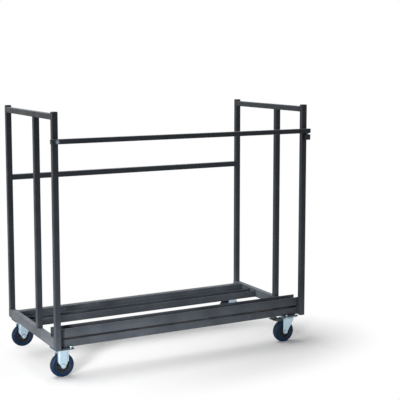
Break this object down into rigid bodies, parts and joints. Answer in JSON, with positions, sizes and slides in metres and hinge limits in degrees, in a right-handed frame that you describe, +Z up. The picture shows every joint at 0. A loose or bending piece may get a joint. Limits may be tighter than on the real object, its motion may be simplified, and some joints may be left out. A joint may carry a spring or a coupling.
{
  "type": "stacking chair trolley",
  "caption": "Tubular steel trolley with open end frames, two channels for the feet of stacked seats, a swing-up locking bar, fixed castors at one end and braked swivel castors at the other",
  "frame": {"origin": "middle of the box round the whole trolley, on the floor", "axes": "+X along the trolley to the swivel castors, +Y from the locking bar to the back, +Z up"},
  "size_m": [1.5444, 0.8034, 1.37],
  "materials": {
    "frame_coat": "semi-matt anthracite powder coat",
    "zinc_steel": "bright zinc plate",
    "tyre_rubber": "non-marking blue rubber",
    "core_plastic": "moulded black",
    "insert_plastic": "moulded black",
    "pedal_plastic": "moulded dark grey-green"
  },
  "bodies": {
    "frame": {"left_front_post": "frame_coat", "left_middle_post": "frame_coat", "left_rear_post": "frame_coat", "right_front_post": "frame_coat", "right_middle_post": "frame_coat", "right_rear_post": "frame_coat", "left_top_rail": "frame_coat", "right_top_rail": "frame_coat", "left_end_tube": "frame_coat", "right_end_tube": "frame_coat", "front_base_rail": "frame_coat", "rear_base_rail": "frame_coat", "back_rail": "frame_coat", "front_channel": "frame_coat", "rear_channel": "frame_coat", "castor_mount_plates": "frame_coat", "post_caps": "insert_plastic", "tube_plugs": "insert_plastic", "bar_socket": "frame_coat", "pivot_bolt": "zinc_steel", "pivot_washers": "zinc_steel", "pivot_nut": "zinc_steel", "castor_bolts": "zinc_steel", "castor_nuts": "zinc_steel", "fixed_axle_bolts": "zinc_steel", "fixed_axle_nuts": "zinc_steel", "left_front_fork": "zinc_steel", "left_front_axle_sleeve": "zinc_steel", "left_rear_fork": "zinc_steel", "left_rear_axle_sleeve": "zinc_steel", "right_front_castor_plate": "zinc_steel", "right_front_ball_ring": "zinc_steel", "right_front_kingpin": "zinc_steel", "right_rear_castor_plate": "zinc_steel", "right_rear_ball_ring": "zinc_steel", "right_rear_kingpin": "zinc_steel"},
    "bar": {"locking_bar": "frame_coat", "bar_end_caps": "insert_plastic", "bar_drop_pin": "zinc_steel"},
    "left_front_wheel": {"left_front_wheel_core": "core_plastic", "left_front_tyre": "tyre_rubber"},
    "left_rear_wheel": {"left_rear_wheel_core": "core_plastic", "left_rear_tyre": "tyre_rubber"},
    "right_front_swivel": {"right_front_fork": "zinc_steel", "right_front_axle_sleeve": "zinc_steel", "right_front_axle_bolt": "zinc_steel", "right_front_axle_nut": "zinc_steel", "right_front_pedal_pin": "zinc_steel"},
    "right_front_wheel": {"right_front_wheel_core": "core_plastic", "right_front_tyre": "tyre_rubber"},
    "right_front_pedal": {"right_front_brake_pedal": "pedal_plastic"},
    "right_rear_swivel": {"right_rear_fork": "zinc_steel", "right_rear_axle_sleeve": "zinc_steel", "right_rear_axle_bolt": "zinc_steel", "right_rear_axle_nut": "zinc_steel", "right_rear_pedal_pin": "zinc_steel"},
    "right_rear_wheel": {"right_rear_wheel_core": "core_plastic", "right_rear_tyre": "tyre_rubber"},
    "right_rear_pedal": {"right_rear_brake_pedal": "pedal_plastic"}
  },
  "joints": [
    {"name": "bar_swing", "type": "hinge", "parent": "frame", "child": "bar", "pos_m": [-0.74225, -0.38075, 1.222], "axis": [0, -1, 0], "range_deg": [0, 95]},
    {"name": "left_front_wheel_turn", "type": "hinge", "parent": "frame", "child": "left_front_wheel", "pos_m": [-0.70725, -0.31425, 0.0625], "axis": [0, 1, 0], "continuous": true},
    {"name": "left_rear_wheel_turn", "type": "hinge", "parent": "frame", "child": "left_rear_wheel", "pos_m": [-0.70725, 0.31375, 0.0625], "axis": [0, 1, 0], "continuous": true},
    {"name": "right_front_swivel_turn", "type": "hinge", "parent": "frame", "child": "right_front_swivel", "pos_m": [0.67675, -0.31425, 0.141], "axis": [0, 0, 1], "continuous": true},
    {"name": "right_front_wheel_turn", "type": "hinge", "parent": "right_front_swivel", "child": "right_front_wheel", "pos_m": [0.64875, -0.31425, 0.0625], "axis": [0, 1, 0], "continuous": true},
    {"name": "right_front_pedal_press", "type": "hinge", "parent": "right_front_swivel", "child": "right_front_pedal", "pos_m": [0.64875, -0.31425, 0.13212], "axis": [0, -1, 0], "range_deg": [0, 10]},
    {"name": "right_rear_swivel_turn", "type": "hinge", "parent": "frame", "child": "right_rear_swivel", "pos_m": [0.67675, 0.31375, 0.141], "axis": [0, 0, 1], "continuous": true},
    {"name": "right_rear_wheel_turn", "type": "hinge", "parent": "right_rear_swivel", "child": "right_rear_wheel", "pos_m": [0.64875, 0.31375, 0.0625], "axis": [0, 1, 0], "continuous": true},
    {"name": "right_rear_pedal_press", "type": "hinge", "parent": "right_rear_swivel", "child": "right_rear_pedal", "pos_m": [0.64875, 0.31375, 0.13212], "axis": [0, -1, 0], "range_deg": [0, 10]}
  ]
}
